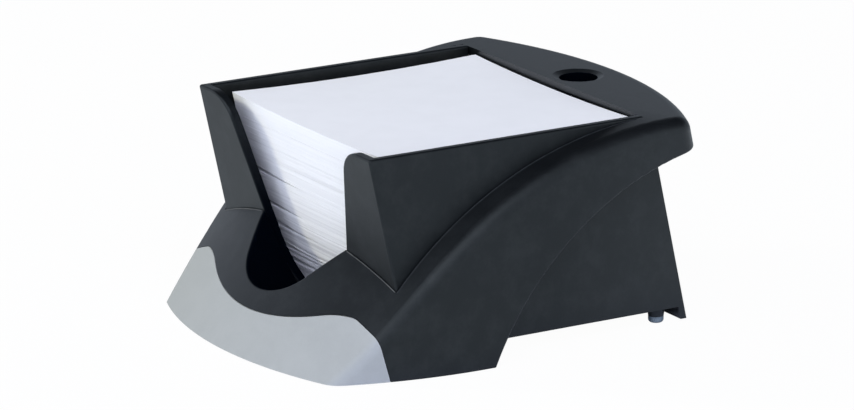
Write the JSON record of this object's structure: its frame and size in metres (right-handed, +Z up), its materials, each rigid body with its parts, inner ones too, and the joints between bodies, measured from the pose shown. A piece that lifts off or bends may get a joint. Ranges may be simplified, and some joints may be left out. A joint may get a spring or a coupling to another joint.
{
  "type": "memo box",
  "caption": "Desk memo box: arched black housing with a silver apron, a leaning bin of loose square notes, a finger scoop at the front and a pen hole in the rear deck.",
  "frame": {"origin": "on the desk, under the middle of the box's outline", "axes": "+X to the right seen from the front, +Y to the rear deck, +Z up"},
  "size_m": [0.1242, 0.149, 0.069],
  "materials": {
    "black_plastic": "fine spark-eroded matte texture",
    "silver_plastic": "satin silver-grey",
    "grey_rubber": "matte",
    "screw_steel": "plain zinc plated",
    "white_paper": "uncoated white"
  },
  "bodies": {
    "housing": {"arch_shell": "black_plastic", "paper_bin": "black_plastic", "front_trim": "silver_plastic", "front_left_foot": "grey_rubber", "front_left_screw": "screw_steel", "front_right_foot": "grey_rubber", "front_right_screw": "screw_steel", "rear_left_foot": "grey_rubber", "rear_left_screw": "screw_steel", "rear_right_foot": "grey_rubber", "rear_right_screw": "screw_steel"},
    "note_stack": {"note_bundle_1": "white_paper", "note_bundle_2": "white_paper", "note_bundle_3": "white_paper", "note_bundle_4": "white_paper", "note_bundle_5": "white_paper", "note_bundle_6": "white_paper", "note_bundle_7": "white_paper", "note_bundle_8": "white_paper"},
    "top_note": {"top_note": "white_paper"}
  },
  "joints": [
    {"name": "stack_lift", "type": "slide", "parent": "housing", "child": "note_stack", "axis": [0, -0.2181, 0.9759], "range_m": [0, 0.075]},
    {"name": "top_note_lift", "type": "slide", "parent": "note_stack", "child": "top_note", "axis": [0, -0.2181, 0.9759], "range_m": [0, 0.06]}
  ]
}
